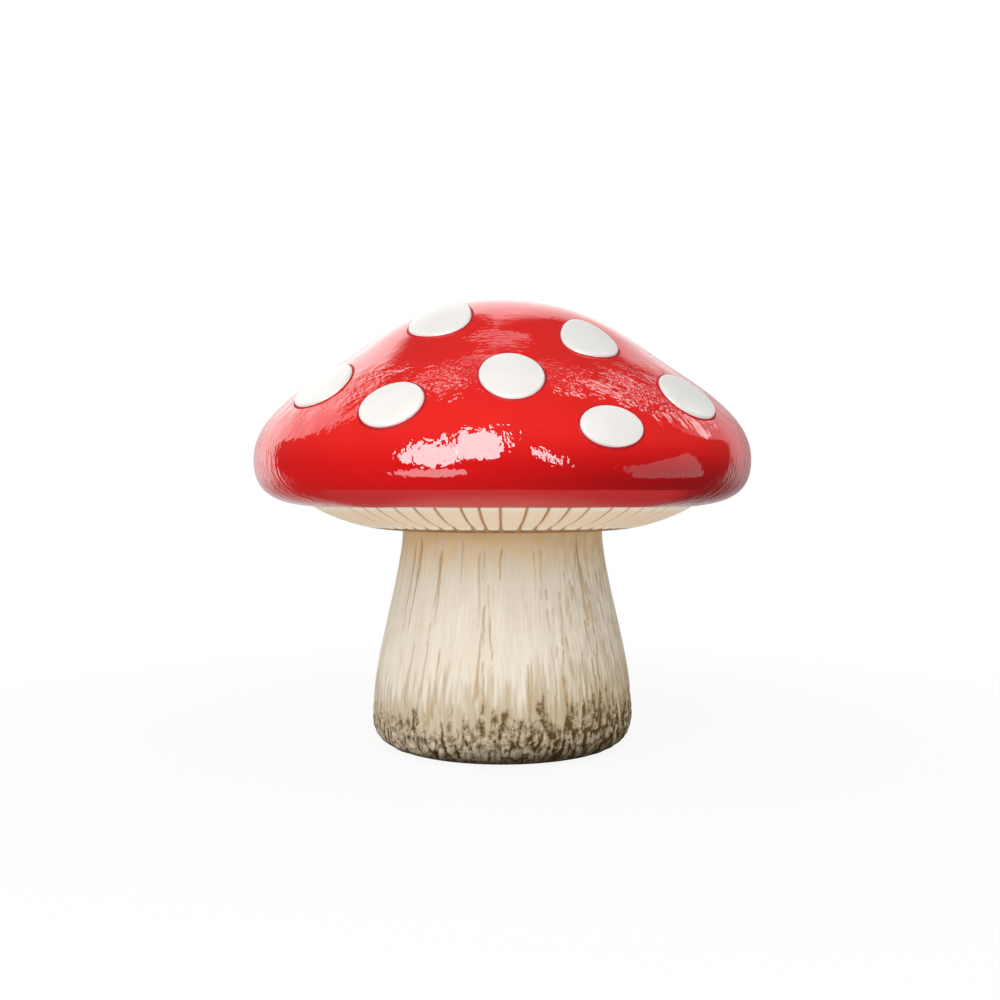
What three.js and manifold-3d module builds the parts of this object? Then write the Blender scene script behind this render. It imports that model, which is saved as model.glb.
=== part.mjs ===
// A fibreglass toadstool figure. A hollow red cap carries bonded spots and is closed below by a
// ribbed gill pan. A hollow stem is bolted up into the pan, and a plywood board closes its foot.
// Millimetres, +Z up, with the origin on the axis at ground level and the front towards -Y.

import * as THREE from 'three';
import { mergeVertices } from 'three/addons/utils/BufferGeometryUtils.js';
import Module from 'manifold-3d';

const wasm = await Module();
wasm.setup();

// Heights, stacked from the ground up
const STEM_HEIGHT = 216.5; // ground to the inner ends of the gills
const GILL_RISE = 23.5; // inner ends of the gills to the seam
const LIP_RISE = 45.5; // seam to the widest ring of the cap
const FLANK_RISE = 108.5; // widest ring to the shoulder
const CROWN_RISE = 56; // shoulder to the top

// Outside radii
const FOOT_RADIUS = 131;
const STEM_TOP_RADIUS = 102;
const SEAM_RADIUS = 192;
const RIM_RADIUS = 250;
const SHOULDER_RADIUS = 150;

// Angles below level in degrees, and how far each curve holds its end direction, as shares of its chord
const FLANK_ANGLE = 36.8;
const LIP_ANGLE = 18;
const GILL_END_ANGLE = 3;
const CROWN_PULL = [0.45, 0.325];
const FLANK_PULL = [0.38, 0.32];
const LIP_PULL = [0.41, 0.41];
const GILL_PULL = [0.3, 0.3];
const STEM_PULL = [0.24, 0.24];

// Mouldings
const CAP_WALL = 4;
const PAN_WALL = 4;
const STEM_WALL = 4;
const BOND_GAP = 0.5; // adhesive between bonded faces
const LAP_WIDTH = 14; // how far the pan's flange laps inside the cap's lip
const SOCKET_DEPTH = 6; // how far the stem's top is let into the pan

// Gills: ribs with grooves between them, every second groove ending short of the stem
const GILL_COUNT = 60;
const GILL_DEPTH = 3.5;

// Foot of the stem
const FOOT_HEIGHT = 46; // where the flare reaches its full radius
const FOOT_FILLET = 20;
const FOOT_LAND = 6; // flat ring that stands on the ground
const FLANGE_WALL = 5; // flanges at both ends of the stem
const BASE_FLANGE_WIDTH = 20;

// Plywood
const BOARD_THICKNESS = 12;
const BOARD_CLEARANCE = 0.5;
const RING_THICKNESS = 12;
const RING_WIDTH = 32;
const VENT_DIAMETER = 16;
const VENT_OFFSET = 45;

// Joint fasteners
const JOINT_COUNT = 4;
const BOLT_DIAMETER = 8;
const BOLT_HEAD_FLATS = 13;
const BOLT_HEAD_HEIGHT = 5.3;
const BOLT_TIP = 3; // thread standing out of the nut
const HOLE_CLEARANCE = 0.4; // all round a shank or a barrel
const WASHER_DIAMETER = 20;
const WASHER_THICKNESS = 1.6;
const NUT_WALL = 1.2;
const NUT_BARREL_LENGTH = 9;
const NUT_FLANGE_DIAMETER = 22;
const NUT_FLANGE_THICKNESS = 1.5;

// Base screws
const SCREW_COUNT = 6;
const SCREW_DIAMETER = 4.5;
const SCREW_HEAD_DIAMETER = 9;
const SCREW_HEAD_HEIGHT = 2.6;
const SCREW_RECESS = 0.5; // head below the board's face
const SCREW_TIP = 3; // point standing out of the flange

// Spots: heading from the front in degrees, positive to the right; share of the way down the dome
// from its top to its widest ring; length and width in typical spots; slant of the length in
// degrees, anticlockwise as seen from outside
const SPOT_SIZE = 60;
const SPOT_THICKNESS = 3.4;
const SPOT_EDGE = 1.4; // thickness left at the rounded edge
const SPOTS = [
  { name: 'spot_front_high_left', heading: -30, down: 0.385, long: 1.37, wide: 1.03, slant: -63 },
  { name: 'spot_front_high_right', heading: 31.5, down: 0.518, long: 1.3, wide: 0.9, slant: 62 },
  { name: 'spot_front_middle', heading: 2, down: 0.74, long: 1.13, wide: 0.92, slant: -80 },
  { name: 'spot_front_low_left', heading: -23.5, down: 0.855, long: 0.97, wide: 0.83, slant: 6 },
  { name: 'spot_front_low_right', heading: 21.5, down: 0.928, long: 0.95, wide: 0.63, slant: -4 },
  { name: 'spot_left', heading: -52, down: 0.742, long: 1.4, wide: 1.03, slant: -30 },
  { name: 'spot_right', heading: 48.5, down: 0.798, long: 1.22, wide: 0.98, slant: 20 },
  { name: 'spot_right_high', heading: 103, down: 0.56, long: 1.2, wide: 0.97, slant: 35 },
  { name: 'spot_right_low', heading: 114, down: 0.865, long: 1.03, wide: 0.83, slant: -8 },
  { name: 'spot_back_right', heading: 139, down: 0.67, long: 1.17, wide: 0.93, slant: 70 },
  { name: 'spot_back_right_low', heading: 152, down: 0.91, long: 1, wide: 0.7, slant: 5 },
  { name: 'spot_back_right_high', heading: 158, down: 0.395, long: 1.23, wide: 1, slant: -40 },
  { name: 'spot_back', heading: 181, down: 0.77, long: 1.13, wide: 0.97, slant: -75 },
  { name: 'spot_back_left_high', heading: 205, down: 0.545, long: 1.27, wide: 0.93, slant: 50 },
  { name: 'spot_back_left_low', heading: 213, down: 0.9, long: 0.97, wide: 0.73, slant: -6 },
  { name: 'spot_back_left', heading: 236, down: 0.72, long: 1.17, wide: 1, slant: -25 },
  { name: 'spot_left_high', heading: 254, down: 0.475, long: 1.2, wide: 0.9, slant: 60 },
  { name: 'spot_left_low', heading: 261, down: 0.885, long: 1.03, wide: 0.8, slant: 8 },
  { name: 'spot_crown', heading: 190, down: 0.16, long: 1.1, wide: 0.93, slant: 20 },
];

// Facets
const CAP_SIDES = 56;
const STEM_SIDES = 40;
const SPOT_SIDES = 14;
const SMALL_SIDES = 12;

// Sizes that follow from those above
const seamHeight = STEM_HEIGHT + GILL_RISE;
const rimHeight = seamHeight + LIP_RISE;
const shoulderHeight = rimHeight + FLANK_RISE;
const topHeight = shoulderHeight + CROWN_RISE;
const socketRadius = STEM_TOP_RADIUS + BOND_GAP;
const seatHeight = STEM_HEIGHT + SOCKET_DEPTH;
const plateTop = seatHeight + PAN_WALL;
const ringOuter = STEM_TOP_RADIUS - STEM_WALL - BOND_GAP;
const ringInner = ringOuter - RING_WIDTH;
const jointCircle = (ringOuter + ringInner) / 2;
const ringTop = plateTop + RING_THICKNESS;
const neckRingTop = seatHeight - FLANGE_WALL;
const neckRingBottom = neckRingTop - RING_THICKNESS;
const headTop = neckRingBottom - WASHER_THICKNESS;
const boltRadius = BOLT_DIAMETER / 2;
const boltHole = boltRadius + HOLE_CLEARANCE;
const nutBarrelRadius = boltHole + NUT_WALL;
const recessRadius = FOOT_RADIUS - FOOT_FILLET - FOOT_LAND;
const boardRadius = recessRadius - BOARD_CLEARANCE;
const baseFlangeInner = recessRadius - BASE_FLANGE_WIDTH;
const baseFlangeTop = BOARD_THICKNESS + FLANGE_WALL;
const screwCircle = (boardRadius + baseFlangeInner) / 2;
const screwRadius = SCREW_DIAMETER / 2;

// Materials
const finish = (color, roughness, metalness = 0) =>
  new THREE.MeshStandardMaterial({ color, roughness, metalness });
const redGelcoat = finish('#d81c22', 0.18);
const whiteGelcoat = finish('#f2efea', 0.35);
const gillCream = finish('#ead9bd', 0.6);
const stemCream = finish('#e6dcc6', 0.7);
const plywood = finish('#c9a878', 0.75);
const zincSteel = finish('#b9bcc0', 0.35, 1);

// Helpers for shapes. Curves lie in a half-plane of radius and height, with the inside on their right

const at = (radius, height) => new THREE.Vector2(radius, height);

// Direction of travel, in degrees below level: 0 is outwards, 90 is down, 180 is back to the axis
function travel(degrees) {
  const angle = THREE.MathUtils.degToRad(degrees);
  return at(Math.cos(angle), -Math.sin(angle));
}

function sweep(start, startSlope, end, endSlope, [startPull, endPull]) {
  const chord = start.distanceTo(end);
  const leave = start.clone().addScaledVector(travel(startSlope), startPull * chord);
  const arrive = end.clone().addScaledVector(travel(endSlope), -endPull * chord);
  return new THREE.CubicBezierCurve(start, leave, arrive, end);
}

function inwardNormal(curve, share) {
  const along = curve.getTangentAt(share);
  return at(along.y, -along.x);
}

function inset(curve, share, depth) {
  return curve.getPointAt(share).addScaledVector(inwardNormal(curve, share), depth);
}

function insetPoints(curve, steps, depth, lastShare = 1) {
  return Array.from({ length: steps + 1 }, (_, i) => inset(curve, (i / steps) * lastShare, depth));
}

// Merges shared corners and drops the triangles that collapse on the axis
function closed(geometry) {
  const bare = geometry.clone();
  bare.deleteAttribute('normal');
  bare.deleteAttribute('uv');
  const merged = mergeVertices(bare);
  const corners = [];
  for (let i = 0; i < merged.index.count; i += 3) {
    const [a, b, c] = [0, 1, 2].map((k) => merged.index.getX(i + k));
    if (a !== b && b !== c && c !== a) corners.push(a, b, c);
  }
  merged.setIndex(corners);
  return merged;
}

// Turns a profile about the axis; the profile runs up its outside
function turned(profile, sides) {
  const ends = profile[0].x === 0 ? profile : [...profile, profile[0].clone()];
  return closed(new THREE.LatheGeometry(ends, sides).rotateX(Math.PI / 2));
}

function solid(geometry) {
  const shape = closed(geometry);
  const mesh = new wasm.Mesh({
    numProp: 3,
    vertProperties: new Float32Array(shape.attributes.position.array),
    triVerts: new Uint32Array(shape.index.array),
  });
  return new wasm.Manifold(mesh);
}

function fromSolid(body) {
  const mesh = body.getMesh();
  const geometry = new THREE.BufferGeometry();
  geometry.setAttribute('position', new THREE.BufferAttribute(mesh.vertProperties, 3));
  geometry.setIndex(new THREE.BufferAttribute(mesh.triVerts, 1));
  return geometry;
}

function cut(geometry, cutters) {
  return fromSolid(cutters.reduce((body, cutter) => body.subtract(solid(cutter)), solid(geometry)));
}

function rod(radius, bottom, top, sides = SMALL_SIDES) {
  const bar = new THREE.CylinderGeometry(radius, radius, top - bottom, sides);
  return bar.rotateX(Math.PI / 2).translate(0, 0, (bottom + top) / 2);
}

// Places round a circle, starting half a step from the front so that none lies on the symmetry plane
function circlePlaces(count, radius) {
  return Array.from({ length: count }, (_, i) => {
    const angle = ((i + 0.5) / count) * 2 * Math.PI;
    return new THREE.Vector3(radius * Math.sin(angle), -radius * Math.cos(angle), 0);
  });
}

const moved = (geometry, place) => geometry.clone().translate(place.x, place.y, place.z);
const jointPlaces = circlePlaces(JOINT_COUNT, jointCircle);
const screwPlaces = circlePlaces(SCREW_COUNT, screwCircle);

function jointHoles(radius, bottom, top) {
  const drill = rod(radius, bottom, top);
  return jointPlaces.map((place) => moved(drill, place));
}

const figure = new THREE.Group();

function add(name, geometry, material, place) {
  geometry.computeVertexNormals();
  const mesh = new THREE.Mesh(geometry, material);
  mesh.name = name;
  if (place) mesh.position.copy(place);
  figure.add(mesh);
}

// Outline of the cap and the gills, from the top outwards, down and back under to the stem
const crown = sweep(at(0, topHeight), 0, at(SHOULDER_RADIUS, shoulderHeight), FLANK_ANGLE, CROWN_PULL);
const flank = sweep(crown.v3, FLANK_ANGLE, at(RIM_RADIUS, rimHeight), 90, FLANK_PULL);
const lip = sweep(flank.v3, 90, at(SEAM_RADIUS, seamHeight), 180 - LIP_ANGLE, LIP_PULL);
const panEdge = lip.v3.clone().addScaledVector(travel(180 - LIP_ANGLE), BOND_GAP);
const gillEnd = at(socketRadius, STEM_HEIGHT);
const gillLine = sweep(panEdge, 180 - LIP_ANGLE, gillEnd, 180 - GILL_END_ANGLE, GILL_PULL);

// Cap shell: the wall follows the outline inside, and its lip ends square at the seam. Inside, the
// lap is one straight stretch, so that the pan's flange lies along it
const lapStart = 1 - LAP_WIDTH / lip.getLength();

function capShell() {
  const outside = [
    ...crown.getSpacedPoints(6),
    ...flank.getSpacedPoints(7).slice(1),
    ...lip.getSpacedPoints(6).slice(1),
  ];
  const inside = [
    ...insetPoints(crown, 3, CAP_WALL),
    ...insetPoints(flank, 4, CAP_WALL).slice(1),
    ...insetPoints(lip, 4, CAP_WALL, lapStart).slice(1),
    inset(lip, 1, CAP_WALL),
  ];
  inside[0].x = 0;
  return turned([...inside, ...outside.reverse()], CAP_SIDES);
}

// Gill pan: one ring of closed sections, with each second column pressed in to make the grooves.
// A section is a list of points, each with its press direction and with its share of the groove's
// depth on full and on short grooves.
function panSection() {
  const lapInner = CAP_WALL + BOND_GAP;
  const lapOuter = lapInner + PAN_WALL;
  const back = GILL_DEPTH + PAN_WALL;
  const groove = (share, full, short) => ({
    point: gillLine.getPointAt(share),
    press: inwardNormal(gillLine, share),
    depths: [full, short],
  });
  const plain = (point) => ({ point, press: at(0, 0), depths: [0, 0] });
  const edgeNormal = inwardNormal(gillLine, 0);
  return [
    groove(1, 0.6, 0),
    groove(0.75, 1, 0),
    groove(0.5, 1, 0.9),
    groove(0, 0.8, 0.8),
    plain(panEdge.clone().addScaledVector(edgeNormal, lapInner)),
    plain(inset(lip, lapStart, lapInner)),
    plain(inset(lip, lapStart, lapOuter)),
    plain(inset(lip, 1, lapOuter)),
    plain(inset(gillLine, 0.5, back)),
    plain(at(STEM_TOP_RADIUS, plateTop)),
    plain(at(ringInner, plateTop)),
    plain(at(ringInner, seatHeight)),
    plain(at(socketRadius, seatHeight)),
  ];
}

function gillPan() {
  const section = panSection();
  const columns = 2 * GILL_COUNT;
  const positions = [];
  const corners = [];
  for (let column = 0; column < columns; column += 1) {
    const angle = (column / columns) * 2 * Math.PI;
    const isGroove = column % 2 === 1;
    const kind = column % 4 === 1 ? 0 : 1;
    section.forEach(({ point, press, depths }) => {
      const depth = isGroove ? depths[kind] * GILL_DEPTH : 0;
      const { x: radius, y: height } = point.clone().addScaledVector(press, depth);
      positions.push(radius * Math.sin(angle), -radius * Math.cos(angle), height);
    });
  }
  const count = section.length;
  for (let column = 0; column < columns; column += 1) {
    const next = (column + 1) % columns;
    for (let k = 0; k < count; k += 1) {
      const [a, b] = [column * count + k, next * count + k];
      const [c, d] = [next * count + ((k + 1) % count), column * count + ((k + 1) % count)];
      corners.push(a, b, c, a, c, d);
    }
  }
  const geometry = new THREE.BufferGeometry();
  geometry.setAttribute('position', new THREE.Float32BufferAttribute(positions, 3));
  geometry.setIndex(corners);
  return cut(geometry, jointHoles(boltHole, seatHeight - PAN_WALL, plateTop + PAN_WALL));
}

// Stem shell: a flared tube with an inward flange at the top and, above the board's recess, at the foot
function stemShell() {
  const neck = at(STEM_TOP_RADIUS, STEM_HEIGHT);
  const flare = sweep(neck, 90, at(FOOT_RADIUS, FOOT_HEIGHT), 90, STEM_PULL);
  const landRadius = FOOT_RADIUS - FOOT_FILLET;
  const quarter = -Math.PI / 2;
  const fillet = new THREE.EllipseCurve(landRadius, FOOT_FILLET, FOOT_FILLET, FOOT_FILLET, quarter, 0);
  const inside = insetPoints(flare, 6, STEM_WALL);
  const profile = [
    at(recessRadius, 0),
    ...fillet.getPoints(4),
    ...flare.getSpacedPoints(8).reverse(),
    at(STEM_TOP_RADIUS, seatHeight),
    at(ringInner, seatHeight),
    at(ringInner, neckRingTop),
    at(STEM_TOP_RADIUS - STEM_WALL, neckRingTop),
    ...inside.slice(1),
    at(FOOT_RADIUS - STEM_WALL, baseFlangeTop),
    at(baseFlangeInner, baseFlangeTop),
    at(baseFlangeInner, BOARD_THICKNESS),
    at(recessRadius, BOARD_THICKNESS),
  ];
  const screwHoleRadius = screwRadius + HOLE_CLEARANCE;
  const screwHole = rod(screwHoleRadius, BOARD_THICKNESS - FLANGE_WALL, baseFlangeTop + FLANGE_WALL);
  return cut(turned(profile, STEM_SIDES), [
    ...jointHoles(boltHole, neckRingTop - FLANGE_WALL, seatHeight + FLANGE_WALL),
    ...screwPlaces.map((place) => moved(screwHole, place)),
  ]);
}

// Spots: thin pillows laid on the dome, made of rings that share its curve
const dome = new THREE.CurvePath();
[crown, flank, lip].forEach((curve) => dome.add(curve));

function onDome(heading, distance, lift) {
  const share = distance / dome.getLength();
  const point = dome.getPoint(share);
  const along = dome.getTangent(share);
  point.addScaledVector(at(-along.y, along.x), lift);
  return [point.x * Math.sin(heading), -point.x * Math.cos(heading), point.y];
}

function spot({ heading, down, long, wide, slant }) {
  const turn = THREE.MathUtils.degToRad(slant);
  const middle = THREE.MathUtils.degToRad(heading);
  const distance = down * (crown.getLength() + flank.getLength());
  const domeRadius = dome.getPoint(distance / dome.getLength()).x;
  const [halfLength, halfWidth] = [(long * SPOT_SIZE) / 2, (wide * SPOT_SIZE) / 2];
  const crownRise = SPOT_THICKNESS - SPOT_EDGE;
  const swell = (reach) => BOND_GAP + SPOT_EDGE + crownRise * Math.sqrt(1 - reach * reach);
  const rings = [
    ...[0.5, 0.85, 1].map((reach) => ({ reach, lift: swell(reach) })),
    ...[1, 2 / 3, 1 / 3].map((reach) => ({ reach, lift: BOND_GAP })),
  ];
  const positions = [...onDome(middle, distance, swell(0))];
  rings.forEach(({ reach, lift }) => {
    for (let i = 0; i < SPOT_SIDES; i += 1) {
      const angle = (i / SPOT_SIDES) * 2 * Math.PI;
      const local = at(halfLength * Math.cos(angle), halfWidth * Math.sin(angle));
      local.multiplyScalar(reach).rotateAround(at(0, 0), turn);
      positions.push(...onDome(middle + local.x / domeRadius, distance - local.y, lift));
    }
  });
  positions.push(...onDome(middle, distance, BOND_GAP));
  const corners = [];
  const last = 1 + rings.length * SPOT_SIDES;
  for (let i = 0; i < SPOT_SIDES; i += 1) {
    const next = (i + 1) % SPOT_SIDES;
    corners.push(0, 1 + i, 1 + next);
    for (let k = 0; k < rings.length - 1; k += 1) {
      const [inner, outer] = [1 + k * SPOT_SIDES, 1 + (k + 1) * SPOT_SIDES];
      corners.push(inner + i, outer + i, outer + next, inner + i, outer + next, inner + next);
    }
    corners.push(last, last - SPOT_SIDES + next, last - SPOT_SIDES + i);
  }
  const geometry = new THREE.BufferGeometry();
  geometry.setAttribute('position', new THREE.Float32BufferAttribute(positions, 3));
  geometry.setIndex(corners);
  return geometry;
}

// Plywood rings of the bolted joint
function jointRing(bottom, holeRadius) {
  const top = bottom + RING_THICKNESS;
  const profile = [at(ringInner, bottom), at(ringOuter, bottom), at(ringOuter, top), at(ringInner, top)];
  const holes = jointHoles(holeRadius, bottom - RING_THICKNESS, top + RING_THICKNESS);
  return cut(turned(profile, STEM_SIDES), holes);
}

// Base screw, head down, and the countersunk hole that takes it with clearance all round
function screwProfile(clearance, bottom, top) {
  const headRadius = SCREW_HEAD_DIAMETER / 2;
  return [
    at(0, bottom),
    at(headRadius + clearance, bottom),
    at(headRadius + clearance, SCREW_RECESS),
    at(screwRadius + clearance, SCREW_RECESS + SCREW_HEAD_HEIGHT),
    at(screwRadius + clearance, top),
    at(0, top),
  ];
}

function baseScrew() {
  const [, , ...aboveRecess] = screwProfile(0, SCREW_RECESS, baseFlangeTop + SCREW_TIP);
  return turned([at(0, SCREW_RECESS), ...aboveRecess], SMALL_SIDES);
}

function baseBoard() {
  const profile = [at(0, 0), at(boardRadius, 0), at(boardRadius, BOARD_THICKNESS), at(0, BOARD_THICKNESS)];
  const hole = turned(screwProfile(HOLE_CLEARANCE, -BOARD_THICKNESS, 2 * BOARD_THICKNESS), SMALL_SIDES);
  const vent = rod(VENT_DIAMETER / 2, -BOARD_THICKNESS, 2 * BOARD_THICKNESS);
  return cut(turned(profile, STEM_SIDES), [
    ...screwPlaces.map((place) => moved(hole, place)),
    vent.translate(0, VENT_OFFSET, 0),
  ]);
}

// Joint bolt: hexagon head under the washer, shank up through the whole joint
function jointBolt() {
  const cornerRadius = BOLT_HEAD_FLATS / Math.sqrt(3);
  const head = rod(cornerRadius, headTop - BOLT_HEAD_HEIGHT, headTop, 6);
  const shank = rod(boltRadius, headTop - BOLT_HEAD_HEIGHT / 2, ringTop + NUT_FLANGE_THICKNESS + BOLT_TIP);
  return fromSolid(solid(head).add(solid(shank)));
}

function washer() {
  const outer = WASHER_DIAMETER / 2;
  const profile = [
    at(boltHole, headTop),
    at(outer, headTop),
    at(outer, neckRingBottom),
    at(boltHole, neckRingBottom),
  ];
  return turned(profile, SMALL_SIDES);
}

// Tee nut: a flange on top of the ring and a barrel down inside it
function teeNut() {
  const flangeRadius = NUT_FLANGE_DIAMETER / 2;
  const barrelBottom = ringTop - NUT_BARREL_LENGTH;
  const flangeTop = ringTop + NUT_FLANGE_THICKNESS;
  const profile = [
    at(boltHole, barrelBottom),
    at(nutBarrelRadius, barrelBottom),
    at(nutBarrelRadius, ringTop),
    at(flangeRadius, ringTop),
    at(flangeRadius, flangeTop),
    at(boltHole, flangeTop),
  ];
  return turned(profile, SMALL_SIDES);
}

add('cap_shell', capShell(), redGelcoat);
add('gill_pan', gillPan(), gillCream);
add('stem_shell', stemShell(), stemCream);
SPOTS.forEach((each) => add(each.name, spot(each), whiteGelcoat));
add('cap_ring', jointRing(plateTop, nutBarrelRadius + HOLE_CLEARANCE), plywood);
add('neck_ring', jointRing(neckRingBottom, boltHole), plywood);
add('base_board', baseBoard(), plywood);
jointPlaces.forEach((place, i) => {
  add(`joint_bolt_${i + 1}`, jointBolt(), zincSteel, place);
  add(`joint_washer_${i + 1}`, washer(), zincSteel, place);
  add(`tee_nut_${i + 1}`, teeNut(), zincSteel, place);
});
screwPlaces.forEach((place, i) => add(`base_screw_${i + 1}`, baseScrew(), zincSteel, place));

export default figure;
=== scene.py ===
# %% [markdown]
# # A fibreglass toadstool
#
# The figure is a garden and shop-window ornament. A red cap, a ribbed gill pan and a flared stem are
# laid up in glass fibre in three moulds, cast spots are bonded to the cap, and the stem is bolted up
# into the pan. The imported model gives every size, so the first step loads it and measures it. The
# mouldings are then modelled again with the fine surface that the solids leave out.

# %% Load the frame
import math
import random

import bpy
import numpy as np
from mathutils import Matrix, Vector, geometry, noise


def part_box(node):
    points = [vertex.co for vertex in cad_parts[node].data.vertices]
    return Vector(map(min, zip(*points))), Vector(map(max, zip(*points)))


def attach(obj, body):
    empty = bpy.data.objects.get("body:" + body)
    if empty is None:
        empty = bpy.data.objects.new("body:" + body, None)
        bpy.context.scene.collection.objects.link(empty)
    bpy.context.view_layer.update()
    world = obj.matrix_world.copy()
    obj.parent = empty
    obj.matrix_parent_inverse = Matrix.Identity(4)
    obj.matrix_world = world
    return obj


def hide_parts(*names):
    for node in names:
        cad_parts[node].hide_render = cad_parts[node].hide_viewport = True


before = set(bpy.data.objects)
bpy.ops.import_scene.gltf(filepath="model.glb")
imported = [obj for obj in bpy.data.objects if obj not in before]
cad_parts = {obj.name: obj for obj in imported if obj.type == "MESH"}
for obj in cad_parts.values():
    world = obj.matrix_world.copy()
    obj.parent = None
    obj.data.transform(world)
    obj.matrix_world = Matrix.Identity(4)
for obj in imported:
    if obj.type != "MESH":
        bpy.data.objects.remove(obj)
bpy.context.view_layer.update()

MM = 0.001
cap_low, cap_high = (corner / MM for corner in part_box("cap_shell"))
stem_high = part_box("stem_shell")[1] / MM

# %% [markdown]
# ## Helpers for colours and nodes
#
# Paint makers and photographs give colours as sRGB hex values, while a shader works in linear light,
# so one function converts them all. Materials are built from nodes. A node is always added in the
# same way: pick its kind, set its properties, and give each input a value or a link. One function
# does that for every kind, which keeps each material readable as a list of steps.

# %% Colour and node helpers
FACTOR, FIRST, SECOND, MIXED = 0, 6, 7, 2  # sockets of a Mix node that mixes colours
COLOURS = {"data_type": "RGBA"}  # makes a Mix node do so
SMOOTH = {"interpolation_type": "SMOOTHSTEP"}  # gives a Map Range node soft ends
MULTIPLY = {"operation": "MULTIPLY"}
ADD = {"operation": "ADD"}
SUBTRACT = {"operation": "SUBTRACT"}


def linear(hex_colour):
    shares = [int(hex_colour[i:i + 2], 16) / 255 for i in (0, 2, 4)]
    return [s / 12.92 if s <= 0.04045 else ((s + 0.055) / 1.055) ** 2.4 for s in shares] + [1]


def set_inputs(tree, node, inputs):
    """Gives each input a value or a link, by its name or number, or in order where no keys are given."""
    for key, value in inputs.items() if isinstance(inputs, dict) else enumerate(inputs):
        if isinstance(value, bpy.types.NodeSocket):
            tree.links.new(value, node.inputs[key])
        else:
            node.inputs[key].default_value = value


def add_node(tree, kind, properties=None, inputs=None):
    node = tree.nodes.new(kind)
    for name, value in (properties or {}).items():
        setattr(node, name, value)
    set_inputs(tree, node, inputs or {})
    return node


def new_material(name):
    material = bpy.data.materials.new(name)
    material.use_nodes = True
    tree = material.node_tree
    place = add_node(tree, "ShaderNodeTexCoord").outputs["Object"]
    return material, tree, tree.nodes["Principled BSDF"], place


print("linear red:", [round(c, 3) for c in linear("d81c22")])

# %% [markdown]
# ## Camera
#
# The photograph looks level at the figure from a little over a metre, at about the height of the
# gills: the paint line at the seam is almost straight, and the foot shows a shallow curve. A normal
# lens on a full-frame sensor gives that view. The camera needs no tilt and no shift.

# %% Camera
CAMERA_PLACE = Vector((-2.4, -1133.5, 246.6)) * MM
LENS = 39.6

bpy.ops.object.select_all(action="DESELECT")
bpy.ops.object.camera_add(location=CAMERA_PLACE, rotation=(math.pi / 2, 0, 0))
camera = bpy.context.object
camera.name = "camera"
camera.data.lens = LENS
bpy.context.scene.camera = camera
bpy.context.scene.view_settings.view_transform = "Standard"
print("camera at", [round(v, 4) for v in camera.location])

# %% [markdown]
# ## Studio
#
# The figure stands on a white table in front of a wide bright backdrop, and the rest of the room is
# dark. Gloss paint shows that room: the backdrop makes the pale veil along the edge of the cap. Its top
# edge is an arch, and it is dimmer on the right and low down behind the figure. A world that answers
# each kind of ray by itself does this without extra walls: white for the camera, the backdrop and the
# dark room for reflections, and a soft fill, stronger from above and from the left, for matt surfaces.

# %% World
FILL = 0.43  # light on matt surfaces from all round
FILL_FROM_LEFT = 0.05
FILL_FROM_ABOVE = 0.24
ROOM = 0.07  # what a reflection finds away from the backdrop
BACKDROP = 1.95
# a direction is given by its upward part and, once laid level, by its parts backward and to the right
DIM_BEHIND = 0.62  # how much darker the backdrop is low down, straight behind the figure
DIM_SIDES = (0.68, 0.95)  # backward part over which it gets darker
DIM_HEIGHT = (0.34, 0.12)  # upward part over which it gets darker
DIM_RIGHT = 0.52
RIGHT_SPAN = (0.0, 0.45)
# sideways and upward part along its top edge
TOP_EDGE = ((-0.68, 0.76), (-0.42, 0.66), (-0.04, 0.855), (0.25, 0.79), (0.45, 0.58))
TOP_SOFTNESS = 0.045
BACKDROP_FOOT = (-0.45, -0.1)
BACKDROP_SIDES = (0.55, 0.1)  # backward part at its side edges, low down and high up
SIDES_OPEN = (0.2, 0.45)  # upward part over which those edges move out
EDGE_SOFTNESS = 0.04

world = bpy.data.worlds.new("studio")
world.use_nodes = True
world.cycles.sampling_method = "NONE"
bpy.context.scene.world = world
tree = world.node_tree
tree.nodes.clear()
rays = add_node(tree, "ShaderNodeLightPath").outputs
direction = add_node(tree, "ShaderNodeTexCoord").outputs["Generated"]
upward = add_node(tree, "ShaderNodeSeparateXYZ", None, {"Vector": direction}).outputs["Z"]
flattened = add_node(tree, "ShaderNodeVectorMath", MULTIPLY, (direction, (1, 1, 0))).outputs[0]
level = add_node(tree, "ShaderNodeVectorMath", {"operation": "NORMALIZE"}, (flattened,)).outputs[0]
sideways, backward, _ = add_node(tree, "ShaderNodeSeparateXYZ", None, {"Vector": level}).outputs

side_edge = add_node(tree, "ShaderNodeMapRange", SMOOTH, (
    upward, *SIDES_OPEN, *BACKDROP_SIDES)).outputs[0]
past_side = add_node(tree, "ShaderNodeMath", SUBTRACT, (backward, side_edge)).outputs[0]
along_top = add_node(tree, "ShaderNodeMapRange", None, (sideways, -1.0, 1.0)).outputs[0]
top_edge = add_node(tree, "ShaderNodeValToRGB", None, {"Fac": along_top})
stops = top_edge.color_ramp.elements
while len(stops) < len(TOP_EDGE):
    stops.new(0.5)
for stop, (aside, up) in zip(stops, TOP_EDGE):
    stop.position = (aside + 1) / 2
    stop.color = (up, up, up, 1)
below_top = add_node(tree, "ShaderNodeMath", SUBTRACT, (top_edge.outputs["Color"], upward)).outputs[0]

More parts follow.
